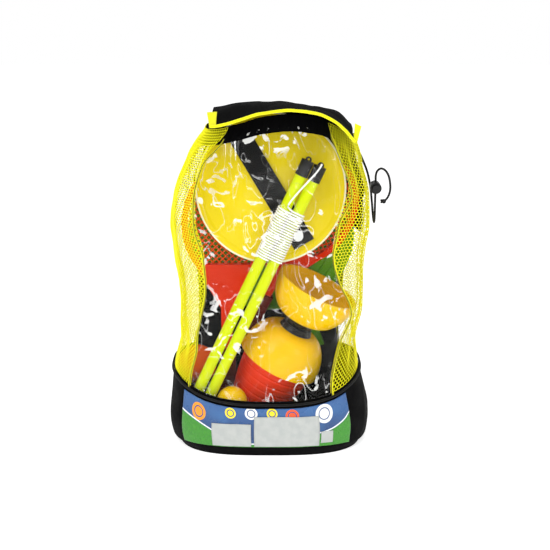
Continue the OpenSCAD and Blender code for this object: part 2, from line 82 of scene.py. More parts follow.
def make_camera():
    """The photograph's camera, aimed at the bag's middle."""
    data = bpy.data.cameras.new("camera")
    data.sensor_width = 36
    data.lens = FOCAL_PX / IMAGE * data.sensor_width
    data.shift_x = (IMAGE / 2 - AIM_PX[0]) / IMAGE
    data.shift_y = -(IMAGE / 2 - AIM_PX[1]) / IMAGE
    camera = bpy.data.objects.new("camera", data)
    camera.location = (0, -CAM_DISTANCE * math.cos(CAM_ELEVATION),
                       CAM_AIM_Z + CAM_DISTANCE * math.sin(CAM_ELEVATION))
    camera.rotation_euler = (math.pi / 2 - CAM_ELEVATION, 0, 0)
    bpy.context.scene.collection.objects.link(camera)
    bpy.context.scene.camera = camera


make_camera()

# ---- the bag's form, as in the part
HALF_W = 0.117
HALF_D = 0.075
BASE_SIDE = 0.091
BASE_FRONT = 0.066
FLOOR_THICK = 0.0024
COLLAR_H = 0.018
HINGE_Z = 0.377
SQUARE = 3
BODY = np.array([
    [0, 0.90, 0.93, 1.02, 0.86], [10, 0.975, 0.995, 1.05, 0.97], [30, 1, 1.01, 1.06, 1],
    [60, 0.975, 0.97, 1.05, 1], [92, 0.94, 0.90, 1.02, 0.99], [125, 0.87, 0.87, 0.99, 0.97],
    [162, 0.87, 0.93, 0.985, 0.95], [205, 0.90, 0.93, 0.95, 0.92], [232, 0.93, 0.95, 0.92, 0.90],
    [256, 0.945, 0.98, 0.91, 0.88], [290, 0.915, 0.97, 0.87, 0.83], [330, 0.78, 0.88, 0.80, 0.75],
    [350, 0.68, 0.83, 0.74, 0.69], [366, 0.59, 0.77, 0.65, 0.64], [390, 0.55, 0.73, 0.57, 0.59]])
BODY[:, 0] *= MM
SEAM_LEFT = [[0, 45], [0.2, 46], [0.3, 51], [0.45, 58], [0.55, 58], [0.65, 52], [0.75, 49],
             [0.9, 47], [1, 60]]
SEAM_RIGHT = [[0, 59], [0.2, 46], [0.3, 39], [0.45, 54], [0.55, 60], [0.65, 58], [0.8, 44],
              [1, 52]]
ARCH = [[-62, 373], [-30, 380], [-7, 387], [22, 390], [50, 387], [71, 378], [82, 369], [94, 357]]
BACK_LEFT = -222
TUB_SEAM = -268
BACK_RIGHT = 42


def table(x, rows):
    """Smooth look-up through rows of (x, y), whose slopes never overshoot."""
    xs = np.array([r[0] for r in rows], float)
    ys = np.array([r[1] for r in rows], float)
    slope = np.diff(ys) / np.diff(xs)
    tangent = np.zeros(len(xs))
    a, b = slope[:-1], slope[1:]
    tangent[1:-1] = np.where(a * b > 0, 2 * a * b / np.where(a + b == 0, 1, a + b), 0)
    x = np.clip(x, xs[0], xs[-1])
    i = np.clip(np.searchsorted(xs, x, side="right") - 1, 0, len(xs) - 2)
    h = xs[i + 1] - xs[i]
    u = (x - xs[i]) / h
    return ((2 * u ** 3 - 3 * u ** 2 + 1) * ys[i] + (u ** 3 - 2 * u ** 2 + u) * h * tangent[i]
            + (-2 * u ** 3 + 3 * u ** 2) * ys[i + 1] + (u ** 3 - u ** 2) * h * tangent[i + 1])


def ramp(v):
    u = np.clip(v, 0.0, 1.0)
    return u * u * (3 - 2 * u)


def spow(v, p):
    return np.sign(v) * np.abs(v) ** p


def share(z, column):
    """A column of BODY at height z."""
    return table(z, BODY[:, [0, column]])


def arch(x):
    """Height of the hood's front edge."""
    return table(np.asarray(x) / MM, ARCH) * MM


def walls(t, z, out=0.0):
    """Points of the bag's wall at angles t in degrees (-90 is the front), moved outward."""
    t, z = np.broadcast_arrays(np.asarray(t, float), np.asarray(z, float))
    c, s = np.cos(np.radians(t)), np.sin(np.radians(t))
    a = HALF_W * np.where(c < 0, share(z, 1), share(z, 2)) + out
    b = HALF_D * np.where(s < 0, share(z, 3), share(z, 4)) + out
    return np.stack([a * spow(c, 2 / SQUARE), b * spow(s, 2 / SQUARE), z], -1)


def base_top(t):
    """Height of the base's rim, lowest in front."""
    s = np.sin(np.radians(t))
    return BASE_SIDE - (BASE_SIDE - BASE_FRONT) * np.maximum(0, -s) ** 2.2


def hood_back_z(x):
    """Height of the hood's back edge, which sags at its right end."""
    return HINGE_Z - 0.020 * ramp((np.asarray(x) - 0.035) / 0.055)


def collar_top(t):
    """Height of the mouth's rim, just under the hood's edges."""
    x = walls(t, 0.384)[..., 0]
    w = (1 - np.sin(np.radians(t))) / 2
    front = arch(x) - 0.006
    return w * front + (1 - w) * np.minimum(front, hood_back_z(x) - 0.0019)


def body_z(t, s):
    """Height at share s of the way from the base's rim to the collar."""
    low = base_top(t)
    return low + s * (collar_top(t) - COLLAR_H - low)


def seam_left(s):
    return -180 + table(s, SEAM_LEFT)


def seam_right(s):
    return -table(s, SEAM_RIGHT)


# ---- mesh helpers
def mesh_object(name, verts, faces, smooth=True):
    mesh = bpy.data.meshes.new(name)
    mesh.from_pydata(np.asarray(verts).tolist(), [], [tuple(int(i) for i in f) for f in faces])
    mesh.update()
    if smooth:
        mesh.polygons.foreach_set("use_smooth", [True] * len(mesh.polygons))
    obj = bpy.data.objects.new(name, mesh)
    bpy.context.scene.collection.objects.link(obj)
    return obj


def bmesh_object(name, bm):
    mesh = bpy.data.meshes.new(name)
    bm.to_mesh(mesh)
    bm.free()
    mesh.polygons.foreach_set("use_smooth", [True] * len(mesh.polygons))
    obj = bpy.data.objects.new(name, mesh)
    bpy.context.scene.collection.objects.link(obj)
    return obj


def fractal(points, scale, octaves=3, seed=0.0):
    """Smooth noise in -1..1 at each point of an array of points."""
    flat = points.reshape(-1, 3)
    shift = Vector((seed, seed * 1.7, -seed * 0.6))
    values = [noise.fractal(Vector(p) * scale + shift, 1.0, 2.0, octaves) for p in flat]
    return np.array(values).reshape(points.shape[:-1])


def creases(points, scale, seed=0.0):
    """Sharp ridges, 0 away from them and 1 on their tops."""
    return np.clip(1 - 3.2 * np.abs(fractal(points, scale, 2, seed)), 0, 1) ** 2


def normals(grid):
    """Unit vectors out of a grid's outer face."""
    n = np.cross(np.gradient(grid, axis=1), np.gradient(grid, axis=0))
    return n / np.maximum(np.linalg.norm(n, axis=-1, keepdims=True), 1e-9)


def runs(points):
    """Distance run along points, from 0."""
    return np.concatenate([[0], np.cumsum(np.linalg.norm(np.diff(points, axis=0), axis=1))])


def panel_grid(t_from, t_to, z_of, rows, cols, out=lambda v: 0.0):
    """Rows of points up the bag, evenly spaced round it. v runs from 0 to 1 up the panel."""
    grid = np.zeros((rows + 1, cols + 1, 3))
    for i in range(rows + 1):
        v = i / rows
        t = np.linspace(t_from(v), t_to(v), 181)
        p = walls(t, z_of(t, v), out(v))
        run = runs(p)
        at = np.linspace(0, run[-1], cols + 1)
        for k in range(3):
            grid[i, :, k] = np.interp(at, run, p[:, k])
    return grid


def sheet_object(name, grid, thick, closed=False, inner=None):
    """A thin closed sheet whose outer face is the grid. Its UVs are in metres."""
    rows, cols = grid.shape[:2]
    n = normals(grid)
    if closed:
        n[:, 0] = n[:, -1] = (n[:, 0] + n[:, -1]) / 2
    inner = grid - n * thick if inner is None else inner
    verts = np.concatenate([grid.reshape(-1, 3), inner.reshape(-1, 3)])
    k = rows * cols
    index = np.arange(k).reshape(rows, cols)
    a, b = index[:-1, :-1].ravel(), index[:-1, 1:].ravel()
    c, d = index[1:, 1:].ravel(), index[1:, :-1].ravel()
    outer_faces = np.stack([a, b, c, d], -1)
    inner_faces = np.stack([k + d, k + c, k + b, k + a], -1)
    low, high = index[0], index[-1]
    rims = [np.stack([low[:-1], k + low[:-1], k + low[1:], low[1:]], -1),
            np.stack([high[:-1], high[1:], k + high[1:], k + high[:-1]], -1)]
    if not closed:
        left, right = index[:, 0], index[:, -1]
        rims += [np.stack([left[:-1], left[1:], k + left[1:], k + left[:-1]], -1),
                 np.stack([right[:-1], k + right[:-1], k + right[1:], right[1:]], -1)]
    faces = np.concatenate([outer_faces, inner_faces] + rims)
    across, up = runs(grid[rows // 2]), runs(grid[:, cols // 2])
    obj = mesh_object(name, verts, faces)
    layer = obj.data.uv_layers.new(name="UVMap")
    corner = faces.ravel() % k
    uv = np.stack([across[corner % cols], up[corner // cols]], -1)
    layer.data.foreach_set("uv", uv.ravel())
    if closed:
        bm = bmesh.new()
        bm.from_mesh(obj.data)
        bmesh.ops.remove_doubles(bm, verts=bm.verts, dist=1e-6)
        bm.to_mesh(obj.data)
        bm.free()
    return obj


def sample(grid, u, v):
    """Points of a grid at shares u across and v up it."""
    rows, cols = grid.shape[:2]
    x = np.clip(u, 0, 1) * (cols - 1)
    y = np.clip(v, 0, 1) * (rows - 1)
    i = np.minimum(y.astype(int), rows - 2)
    j = np.minimum(x.astype(int), cols - 2)
    fx, fy = (x - j)[:, None], (y - i)[:, None]
    return ((grid[i, j] * (1 - fx) + grid[i, j + 1] * fx) * (1 - fy)
            + (grid[i + 1, j] * (1 - fx) + grid[i + 1, j + 1] * fx) * fy)


def net_object(name, grid, pitch, thread, row_pitch, waver):
    """A knitted net of hexagonal holes laid over the grid, its threads raised in the middle."""
    n = normals(grid)
    wide = np.linalg.norm(np.diff(grid, axis=1), axis=-1).sum(1).mean()
    tall = np.linalg.norm(np.diff(grid, axis=0), axis=-1).sum(0).mean()
    nx = max(2, round(wide / pitch))
    ny = max(2, round(tall / row_pitch))
    a, r = 1.0 / nx, 1.0 / ny
    corner = np.array([(0, -2 / 3), (0.5, -1 / 3), (0.5, 1 / 3), (0, 2 / 3), (-0.5, 1 / 3),
                       (-0.5, -1 / 3)])
    ij = np.array([(i + 0.5 * (j % 2), j + 0.5) for j in range(ny) for i in range(nx + 1)])
    ring = ij[:, None, :] + corner[None]
    hole = ij[:, None, :] + corner[None] * (1 - thread / pitch)
    key = np.round(ring.reshape(-1, 2) * 600).astype(np.int64)
    _, first, back = np.unique(key, axis=0, return_index=True, return_inverse=True)
    back = back.reshape(-1)
    nodes = ring.reshape(-1, 2)[first]
    holes = hole.reshape(-1, 2)

    def place(cells, lift):
        u, v = cells[:, 0] * a, cells[:, 1] * r
        u = u + waver * np.sin(v * 23 + u * 5) * (1 - np.abs(2 * np.clip(u, 0, 1) - 1))
        p = sample(grid, u, v)
        return p + sample(n, u, v) * lift
    lift = thread * 0.45
    verts = np.concatenate([place(nodes, lift), place(nodes, -lift), place(holes, 0.0)])
    m = len(nodes)
    cells = np.arange(len(ij))
    faces = []
    for k in range(6):
        q = (k + 1) % 6
        o1, o2 = back[cells * 6 + k], back[cells * 6 + q]
        h1, h2 = 2 * m + cells * 6 + k, 2 * m + cells * 6 + q
        faces.append(np.stack([o1, o2, h2, h1], -1))
        faces.append(np.stack([m + o2, m + o1, h1, h2], -1))
    return mesh_object(name, verts, np.concatenate(faces))


def sweep(name, points, radius, sides=12, up=(0, 0, 1), flat=None):
    """A tube along points. flat = (half width, half thickness) makes a webbing instead."""
    p = np.asarray(points, float)
    d = np.gradient(p, axis=0)
    d /= np.linalg.norm(d, axis=1, keepdims=True)
    side = np.cross(d, np.asarray(up, float))
    side /= np.maximum(np.linalg.norm(side, axis=1, keepdims=True), 1e-9)
    other = np.cross(side, d)
    t = 2 * np.pi * np.arange(sides) / sides
    if flat:
        c, s = spow(np.cos(t), 0.35) * flat[0], spow(np.sin(t), 0.8) * flat[1]
    else:
        c, s = np.cos(t) * radius, np.sin(t) * radius
    rings = p[:, None] + side[:, None] * c[None, :, None] + other[:, None] * s[None, :, None]
    index = np.arange(len(p) * sides).reshape(len(p), sides)
    q = np.roll(index, -1, axis=1)
    faces = np.stack([index[:-1].ravel(), index[1:].ravel(), q[1:].ravel(), q[:-1].ravel()],
                     -1).tolist()
    faces += [index[0].tolist(), index[-1][::-1].tolist()]
    obj = mesh_object(name, rings.reshape(-1, 3), faces)
    run = runs(p)
    layer = obj.data.uv_layers.new(name="UVMap")
    corners = [i for f in faces for i in f]
    width = 2 * (flat[0] if flat else radius)
    layer.data.foreach_set("uv", [w for i in corners for w in (
        width * (0.5 + 0.5 * math.cos(t[i % sides])), float(run[i // sides]))])
    return obj


def smooth_path(points, steps):
    """Catmull-Rom through the points, steps per span."""
    p = np.asarray(points, float)
    p = np.concatenate([[2 * p[0] - p[1]], p, [2 * p[-1] - p[-2]]])
    out = []
    for i in range(1, len(p) - 2):
        for k in range(steps):
            u = k / steps
            out.append(0.5 * ((2 * p[i]) + (p[i + 1] - p[i - 1]) * u
                              + (2 * p[i - 1] - 5 * p[i] + 4 * p[i + 1] - p[i + 2]) * u * u
                              + (3 * p[i] - p[i - 1] - 3 * p[i + 1] + p[i + 2]) * u ** 3))
    out.append(p[-2])
    return np.array(out)


# ---- materials
def add(nt, kind, values=None, **props):
    """A shader node. A value that is a socket is linked, any other is set."""
    made = nt.nodes.new("ShaderNode" + kind)
    for key, value in props.items():
        setattr(made, key, value)
    for key, value in (values or {}).items():
        if isinstance(value, bpy.types.NodeSocket):
            nt.links.new(value, made.inputs[key])
        else:
            made.inputs[key].default_value = value
    return made


def rgb(r, g, b):
    """A colour read off as 0..255, as Blender's linear values."""
    def one(v):
        v /= 255
        return v / 12.92 if v <= 0.04045 else ((v + 0.055) / 1.055) ** 2.4
    return one(r), one(g), one(b), 1.0


def blank(name):
    mat = bpy.data.materials.new(name)
    mat.use_nodes = True
    nt = mat.node_tree
    return mat, nt, nt.nodes["Principled BSDF"]


def coords(nt, uv=False, scale=(1, 1, 1), turn=0.0):
    """Texture coordinates: the object's own, or its UVs, which are in metres."""
    source = add(nt, "TexCoord").outputs["UV" if uv else "Object"]
    return add(nt, "Mapping", {"Vector": source, "Scale": scale,
                               "Rotation": (0, 0, turn)}).outputs["Vector"]


def maths(nt, op, a, b=0.0, c=0.0):
    """One step of arithmetic on a and b; c is only read by MULTIPLY_ADD."""
    return add(nt, "Math", {0: a, 1: b, 2: c}, operation=op).outputs[0]


def apart(nt, a, b):
    """How far two values lie apart."""
    return maths(nt, "ABSOLUTE", maths(nt, "SUBTRACT", a, b))


def spread(nt, value, low, high, out_low=0.0, out_high=1.0):
    """The value eased from low..high to out_low..out_high."""
    return add(nt, "MapRange", {"Value": value, "From Min": low, "From Max": high,
                                "To Min": out_low, "To Max": out_high},
               interpolation_type="SMOOTHSTEP").outputs["Result"]


def blend_colour(nt, fac, a, b):
    return add(nt, "Mix", {0: fac, 6: a, 7: b}, data_type="RGBA").outputs[2]


def bump(nt, bsdf, height, distance, strength=1.0):
    """Raises a surface in its shading alone."""
    made = add(nt, "Bump", {"Height": height, "Distance": distance, "Strength": strength})
    nt.links.new(made.outputs["Normal"], bsdf.inputs["Normal"])


def grain_of(nt, place, scale, detail, distortion=0.0):
    """A noise texture's value, 0 to 1."""
    return add(nt, "TexNoise", {"Vector": place, "Scale": scale, "Detail": detail,
                                "Distortion": distortion}).outputs["Fac"]


def shade(colour, factor):
    return tuple(min(1.0, c * factor) for c in colour[:3]) + (1.0,)


def plastic(name, colour, rough=0.3, mottled=0.12, spec=0.3, coat=0.0, through=0.0, grain=0.00004):
    """Moulded plastic: slow colour drift, fine mould grain, and scuffs that dull the gloss."""
    mat, nt, bsdf = blank(name)
    place = coords(nt)
    drift = grain_of(nt, place, 14, 3)
    fine = grain_of(nt, place, 900, 2)
    scuff = grain_of(nt, coords(nt, scale=(1, 1, 0.15)), 160, 4)
    tint = blend_colour(nt, spread(nt, drift, 0.35, 0.65), shade(colour, 1 - mottled), colour)
    nt.links.new(tint, bsdf.inputs["Base Color"])
    nt.links.new(spread(nt, scuff, 0.45, 0.75, rough, min(1, rough + 0.2)),
                 bsdf.inputs["Roughness"])
    bsdf.inputs["Specular IOR Level"].default_value = spec
    bsdf.inputs["Coat Weight"].default_value = coat
    bsdf.inputs["Coat Roughness"].default_value = 0.06
    if through:
        bsdf.inputs["Subsurface Weight"].default_value = through
        bsdf.inputs["Subsurface Radius"].default_value = (0.004, 0.003, 0.0015)
    bump(nt, bsdf, fine, grain)
    return mat


def woven(name, colour, thread=0.0006, rough=0.85, fuzz=0.25, depth=0.00018, sheen=0.2, spec=0.2,
          dark=0.45):
    """Plain-woven cloth, its threads crossing every `thread` metres, with slubs and lint."""
    mat, nt, bsdf = blank(name)
    place = coords(nt, uv=True)
    turns = math.pi / thread
    waves = []
    for axis, phase in (((1, 0, 0), 0.0), ((0, 1, 0), 1.57)):
        dot = add(nt, "VectorMath", {0: place, 1: axis}, operation="DOT_PRODUCT").outputs["Value"]
        waves.append(maths(nt, "SINE", maths(nt, "MULTIPLY_ADD", dot, turns, phase)))
    weave = maths(nt, "MULTIPLY", waves[0], waves[1])
    slub = grain_of(nt, place, 60, 5)
    lint = grain_of(nt, place, 500, 3)
    body = blend_colour(nt, spread(nt, slub, 0.35, 0.7), shade(colour, 0.3 + 0.9 * dark),
                        shade(colour, 1.15))
    body = blend_colour(nt, spread(nt, weave, -1, 1, 0.0, 0.35), body, shade(colour, dark))
    body = blend_colour(nt, spread(nt, lint, 0.62, 0.75, 0, fuzz), body, shade(colour, 2.2))
    nt.links.new(body, bsdf.inputs["Base Color"])
    nt.links.new(spread(nt, slub, 0.3, 0.7, rough - 0.1, min(1, rough + 0.08)),
                 bsdf.inputs["Roughness"])
    bsdf.inputs["Sheen Weight"].default_value = sheen
    bsdf.inputs["Sheen Roughness"].default_value = 0.5
    bsdf.inputs["Specular IOR Level"].default_value = spec
    height = maths(nt, "ADD", weave, maths(nt, "MULTIPLY", slub, 1.5))
    bump(nt, bsdf, height, depth, 0.8)
    return mat


def film_material():
    """Clear soft film: thin and shiny, with painted glints: pale, half opaque patches and streaks
    on its creases and crumples, painted highlights that stand in for glare.
    """
    mat, nt, bsdf = blank("clear_film_creased")
    place = coords(nt)
    slant = coords(nt, scale=(1.0, 1.0, 0.5), turn=0.5)
    wide = grain_of(nt, slant, 26, 2, 1.6)
    crumple = grain_of(nt, place, 42, 2.5, 2.2)
    where = grain_of(nt, place, 13, 1)
    # painted glints: pale streaks along the slanting folds (ridge) and pale crumple patches
    # (patch), made half opaque, stand in for glare
    ridge = spread(nt, apart(nt, wide, 0.5), 0.002, 0.009, 1.0, 0.0)
    patch = spread(nt, crumple, 0.612, 0.63)
    patch = maths(nt, "MULTIPLY", patch, spread(nt, where, 0.46, 0.56))
    ridge = maths(nt, "MULTIPLY", ridge, spread(nt, where, 0.40, 0.60, 0.15, 0.7))
    painted_glint = maths(nt, "MAXIMUM", patch, ridge)
    facing = add(nt, "LayerWeight", {"Blend": 0.2}).outputs["Fresnel"]
    veil = maths(nt, "MULTIPLY_ADD", facing, 0.25, 0.003)
    alpha = maths(nt, "ADD", veil, maths(nt, "MULTIPLY", painted_glint, 0.5))
    alpha = maths(nt, "MINIMUM", alpha, 1.0)
    nt.links.new(alpha, bsdf.inputs["Alpha"])
    bsdf.inputs["Base Color"].default_value = (0.97, 0.98, 0.97, 1)
    # off the painted glints the film is a mirror; on them it turns pale and diffuse, a painted
    # highlight
    nt.links.new(maths(nt, "SUBTRACT", 1.0, painted_glint), bsdf.inputs["Metallic"])
    bsdf.inputs["Roughness"].default_value = 0.12
    bump(nt, bsdf, wide, 0.002, 0.8)
    return mat


# each ball's place and radius on the label in metres, and its colour
PRINTED_BALLS = ((0.022, 0.034, 0.0085, (246, 150, 20)), (0.060, 0.040, 0.0060, (248, 222, 30)),
                 (0.084, 0.041, 0.0070, (240, 240, 236)), (0.108, 0.041, 0.0060, (248, 222, 30)),
                 (0.131, 0.038, 0.0075, (236, 84, 30)), (0.168, 0.036, 0.0100, (244, 244, 240)))


def label_material():
    """Printed label: a blue field with white edge lines, green grass, and plain balls."""
    mat, nt, bsdf = blank("label_print_generic")
    at = add(nt, "SeparateXYZ", {"Vector": coords(nt, uv=True)})
    x, y = at.outputs["X"], at.outputs["Y"]
    shade_of = spread(nt, y, 0.0, 0.055)
    field = blend_colour(nt, shade_of, rgb(22, 54, 104), rgb(48, 92, 150))
    glow = grain_of(nt, coords(nt, uv=True), 22, 2)
    field = blend_colour(nt, spread(nt, glow, 0.45, 0.7, 0, 0.25), field, rgb(70, 140, 200))
    wave = maths(nt, "SINE", maths(nt, "MULTIPLY", x, 60))
    hill = maths(nt, "MULTIPLY_ADD", wave, 0.0035, 0.0)
    ends = apart(nt, x, 0.098)
    line = maths(nt, "ADD", maths(nt, "ADD", hill, 0.006),
                 maths(nt, "MULTIPLY", maths(nt, "POWER", ends, 2.0), 2.4))
    above = maths(nt, "SUBTRACT", line, y)
    tuft = grain_of(nt, coords(nt, uv=True, scale=(900, 260, 1)), 1, 2)
    grass = blend_colour(nt, tuft, rgb(20, 106, 18), rgb(70, 160, 34))
    colour = blend_colour(nt, spread(nt, above, 0.0, 0.0006), field, grass)
    rim = spread(nt, apart(nt, above, -0.0008), 0.0005, 0.0009, 1.0, 0.0)
    colour = blend_colour(nt, rim, colour, rgb(240, 244, 246))
    for cx, cy, r, tint in PRINTED_BALLS:
        offset = add(nt, "CombineXYZ", {"X": maths(nt, "SUBTRACT", x, cx),
                                        "Y": maths(nt, "SUBTRACT", y, cy)}).outputs[0]
        away = add(nt, "VectorMath", {0: offset}, operation="LENGTH").outputs["Value"]
        colour = blend_colour(nt, spread(nt, away, r, r + 0.0005, 1.0, 0.0), colour, rgb(*tint))
        ring = spread(nt, apart(nt, away, r * 0.62), 0.0004, 0.0008, 1.0, 0.0)
        colour = blend_colour(nt, ring, colour, rgb(30, 70, 130))
    nt.links.new(colour, bsdf.inputs["Base Color"])
    dull = grain_of(nt, coords(nt), 70, 3)
    nt.links.new(spread(nt, dull, 0.3, 0.7, 0.2, 0.36), bsdf.inputs["Roughness"])
    bump(nt, bsdf, dull, 0.0006, 0.5)
    return mat


def sticker_material():
    mat, nt, bsdf = blank("sticker_paper_blank")
    place = coords(nt, uv=True)
    stain = grain_of(nt, place, 90, 4)
    fibre = grain_of(nt, place, 1500, 2)
    nt.links.new(blend_colour(nt, spread(nt, stain, 0.35, 0.65), rgb(172, 176, 174),
                              rgb(182, 185, 182)), bsdf.inputs["Base Color"])
    nt.links.new(spread(nt, stain, 0.3, 0.7, 0.45, 0.65), bsdf.inputs["Roughness"])
    bump(nt, bsdf, fibre, 0.00006)
    return mat


def assign(obj, mat):
    obj.data.materials.clear()
    obj.data.materials.append(mat)
    for polygon in getattr(obj.data, "polygons", ()):
        polygon.material_index = 0
    return obj


def dress(node, mat):
    """The material of a CAD node, on its own slots."""
    obj = NODES[node]
    for part in [obj] + list(obj.children_recursive):
        for entry in part.material_slots:
            entry.material = mat
        if part.type == "MESH" and not part.material_slots:
            part.data.materials.append(mat)


black_cloth = woven("black_cloth", rgb(3, 3, 4), 0.0007, sheen=0.01, fuzz=0.15, spec=0.08)
black_lining = woven("black_lining", rgb(2, 2, 3), 0.0006, sheen=0.01, fuzz=0.1, spec=0.06)
black_webbing = woven("black_webbing_weave", rgb(16, 16, 17), 0.0011, depth=0.00035,
                      sheen=0.06)
yellow_binding = woven("yellow_binding_weave", rgb(244, 240, 4), 0.0005, rough=0.7, dark=0.75)
net_yellow = woven("net_thread", rgb(250, 240, 0), 0.00035, rough=0.55, sheen=0.1, dark=0.72)
# A brighter copy of the net thread, used on the left net: painted light, standing in for the light
# that falls on the left side.
net_yellow_painted_lit = woven("net_thread_painted_lit", rgb(255, 246, 0), 0.00035, rough=0.55, sheen=0.1,
                   dark=0.8)
felt_black = woven("pile_felt", rgb(40, 40, 44), 0.0004, fuzz=0.6, depth=0.0004)
black_plastic = plastic("black_plastic_moulded", rgb(12, 12, 13), 0.33, 0.2)
yellow_plastic = plastic("yellow_plastic_moulded", rgb(232, 208, 0), 0.26, 0.05, spec=0.12)
cup_plastic = plastic("cup_plastic_moulded", rgb(246, 200, 0), 0.2, 0.04, spec=0.15,
                      coat=0.1, through=0.5)
cream_plastic = plastic("cream_plastic_moulded", rgb(244, 240, 205), 0.35, 0.08)
lime_plastic = plastic("lime_plastic_moulded", rgb(214, 230, 0), 0.3, 0.05, spec=0.12)
red_plastic = plastic("red_plastic_moulded", rgb(250, 56, 2), 0.3, 0.08, spec=0.12)
# The grips' dark red is painted shade: the rackets' red as it looks in the shadow the handles lie
# in.
red_grip_painted_shade = plastic("red_grip_rubber_painted_shade", rgb(120, 26, 12), 0.6, 0.15)
orange_plastic = plastic("orange_net_plastic", rgb(255, 92, 6), 0.35, 0.08, spec=0.12)
green_plastic = plastic("green_plastic_moulded", rgb(96, 170, 20), 0.35, 0.1, spec=0.2)
ball_plastic = plastic("ball_plastic_moulded", rgb(244, 200, 0), 0.25, 0.06, spec=0.15)
steel = plastic("steel_turned", rgb(160, 162, 166), 0.25, 0.1)
steel.node_tree.nodes["Principled BSDF"].inputs["Metallic"].default_value = 1.0


def piece(obj, mat, slot, *nodes, body="bag"):
    """Gives an object its material and its body, and hides the nodes it stands for. The slot is
    not used.
    """
    assign(obj, mat)
    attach(obj, body)
    if nodes:
        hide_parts(*nodes)
    return obj


# ---- the cords come first
def matrix_of(place, *turns):
    """A node's place in the part: a shift, then turns given as (degrees, axis)."""
    m = Matrix.Translation(Vector(place) * MM)
    for angle, axis in turns:
        m = m @ Matrix.Rotation(math.radians(angle), 4, axis)
    return m


def put(matrix, points):
    """Points moved by a matrix."""
    m = np.array(matrix)
    return np.asarray(points, float) @ m[:3, :3].T + m[:3, 3]


ON_DISC = matrix_of((2.5, -27.803, 300), (82, "X"))
ON_STICKS = matrix_of((48.5, -44, 327.7), (25.1, "Y"), (-2.0, "X"))
ROUTE = [[97, 30, 348], [101, 31, 340], [108, 32, 325], [115, 32, 308], [119, 31, 290],
         [121, 29, 272], [122, 24, 258], [122.5, 16, 252], [122.5, 10, 255], [122.5, 8, 262],
         [122.5, 8, 270], [122.5, 8, 278], [122.5, 8, 286], [122.5, 8, 294], [122.5, 8, 302],
         [122.5, 8, 308], [124, 8, 313], [128, 8, 316], [133, 8, 314], [137, 8, 308],
         [139, 8, 300], [139.5, 8, 292], [138, 8, 285], [135, 8, 280], [131.5, 8, 278]]
STRING_LEAD = [[7.4, -3.4, 4.8], [7.2, -7.2, 5.8], [6.6, -9.1, 1.5], [5.0, -8.9, -6],
               [1.5, -8.9, -17], [-2.5, -8.8, -30], [-6, -8.7, -43], [-7, -8.6, -51]]
STICK_HALF = 7.4
STRING_R = 7.55
STRING_TURNS = 21
STRING_TOP = -54
STRING_PITCH = 2.9


def string_points(per_turn):
    """The string's route: from a cap's eye, down, and round both sticks in one winding."""
    half = per_turn // 2
    wound = [[0, -STRING_R, STRING_TOP]]
    for k in range(STRING_TURNS * per_turn):
        i = k % per_turn
        right = i < half
        start, step = (-90, i) if right else (90, i - half)
        a = math.radians(start + step * 180 / (half - 1))
        wound.append([(STICK_HALF if right else -STICK_HALF) + STRING_R * math.cos(a),
                      STRING_R * math.sin(a), STRING_TOP - STRING_PITCH * k / per_turn])
    wound.append([0, -STRING_R, STRING_TOP - STRING_PITCH * STRING_TURNS])
    lead = smooth_path(STRING_LEAD, 4)[:-1].tolist() + [STRING_LEAD[-1]]
    return put(ON_STICKS, np.array(lead + wound) * MM)


draw_cord_mat = woven("draw_cord_braid", rgb(18, 18, 19), 0.0005, depth=0.0003)
string_mat = woven("string_braid", rgb(255, 255, 246), 0.0005, rough=0.7, depth=0.0001,
                   dark=0.84)
cord_path = smooth_path(np.array(ROUTE) * MM, 4)
cord_piece = sweep("draw_cord_braid_piece", cord_path, 0.0013, 10, up=(0, 1, 0.2))
piece(cord_piece, draw_cord_mat, "black_cord", "draw_cord")
knot_turn = np.linspace(0, 2 * math.pi, 61)
knot_path = np.stack([(2 + np.cos(3 * knot_turn)) * np.cos(2 * knot_turn),
                      (2 + np.cos(3 * knot_turn)) * np.sin(2 * knot_turn),
                      1.6 * np.sin(3 * knot_turn)], -1) * 0.00085 + cord_path[-1]
cord_knot = sweep("draw_cord_knot", knot_path, 0.0011, 10, up=(0.1, 0.2, 1))
assign(cord_knot, draw_cord_mat)
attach(cord_knot, "bag")
string_path = string_points(36)
string_piece = sweep("wound_string", string_path, 0.001, 10, up=(0, 0.02, 1))
piece(string_piece, string_mat, "white_string", "stick_string")


# ---- the bag's cloth
def tub_relief(points):
    """How far the base's cloth stands out at each point; it is flat near the floor."""
    squeezed = points * np.array([1, 1, 0.6])
    rise = ramp((points[..., 2] - 0.006) / 0.02)
    folds = 0.0010 * fractal(squeezed, 24, 3, 3.0) + 0.0007 * creases(squeezed, 16, 7.0)
    return folds * rise


def lifted(grid, distance):
    """A grid moved outward along its own normals."""
    return grid + normals(grid) * np.asarray(distance)[..., None]


def make_tub():
    wall_rows = panel_grid(lambda v: TUB_SEAM, lambda v: TUB_SEAM + 360,
                           lambda t, v: base_top(t) * v, 44, 200)
    relief = tub_relief(wall_rows)
    relief[:, -1] = relief[:, 0]
    wall_rows = lifted(wall_rows, relief)
    wall_rows[:, -1] = wall_rows[:, 0]
    shares = np.linspace(0, 0.96, 9)[:, None, None]
    floor = wall_rows[0][None] * shares * np.array([1, 1, 0])
    outer = np.concatenate([floor, wall_rows])
    shrink = wall_rows * np.array([0.982, 0.972, 1])
    shrink[..., 2] = np.maximum(shrink[..., 2], FLOOR_THICK)
    inner = np.concatenate([floor * np.array([0.98, 0.97, 1]) + np.array([0, 0, FLOOR_THICK]),
                            shrink])
    tub = sheet_object("base_cloth", outer, 0.002, closed=True, inner=inner)
    return piece(tub, black_cloth, "black_fabric", "base_tub")


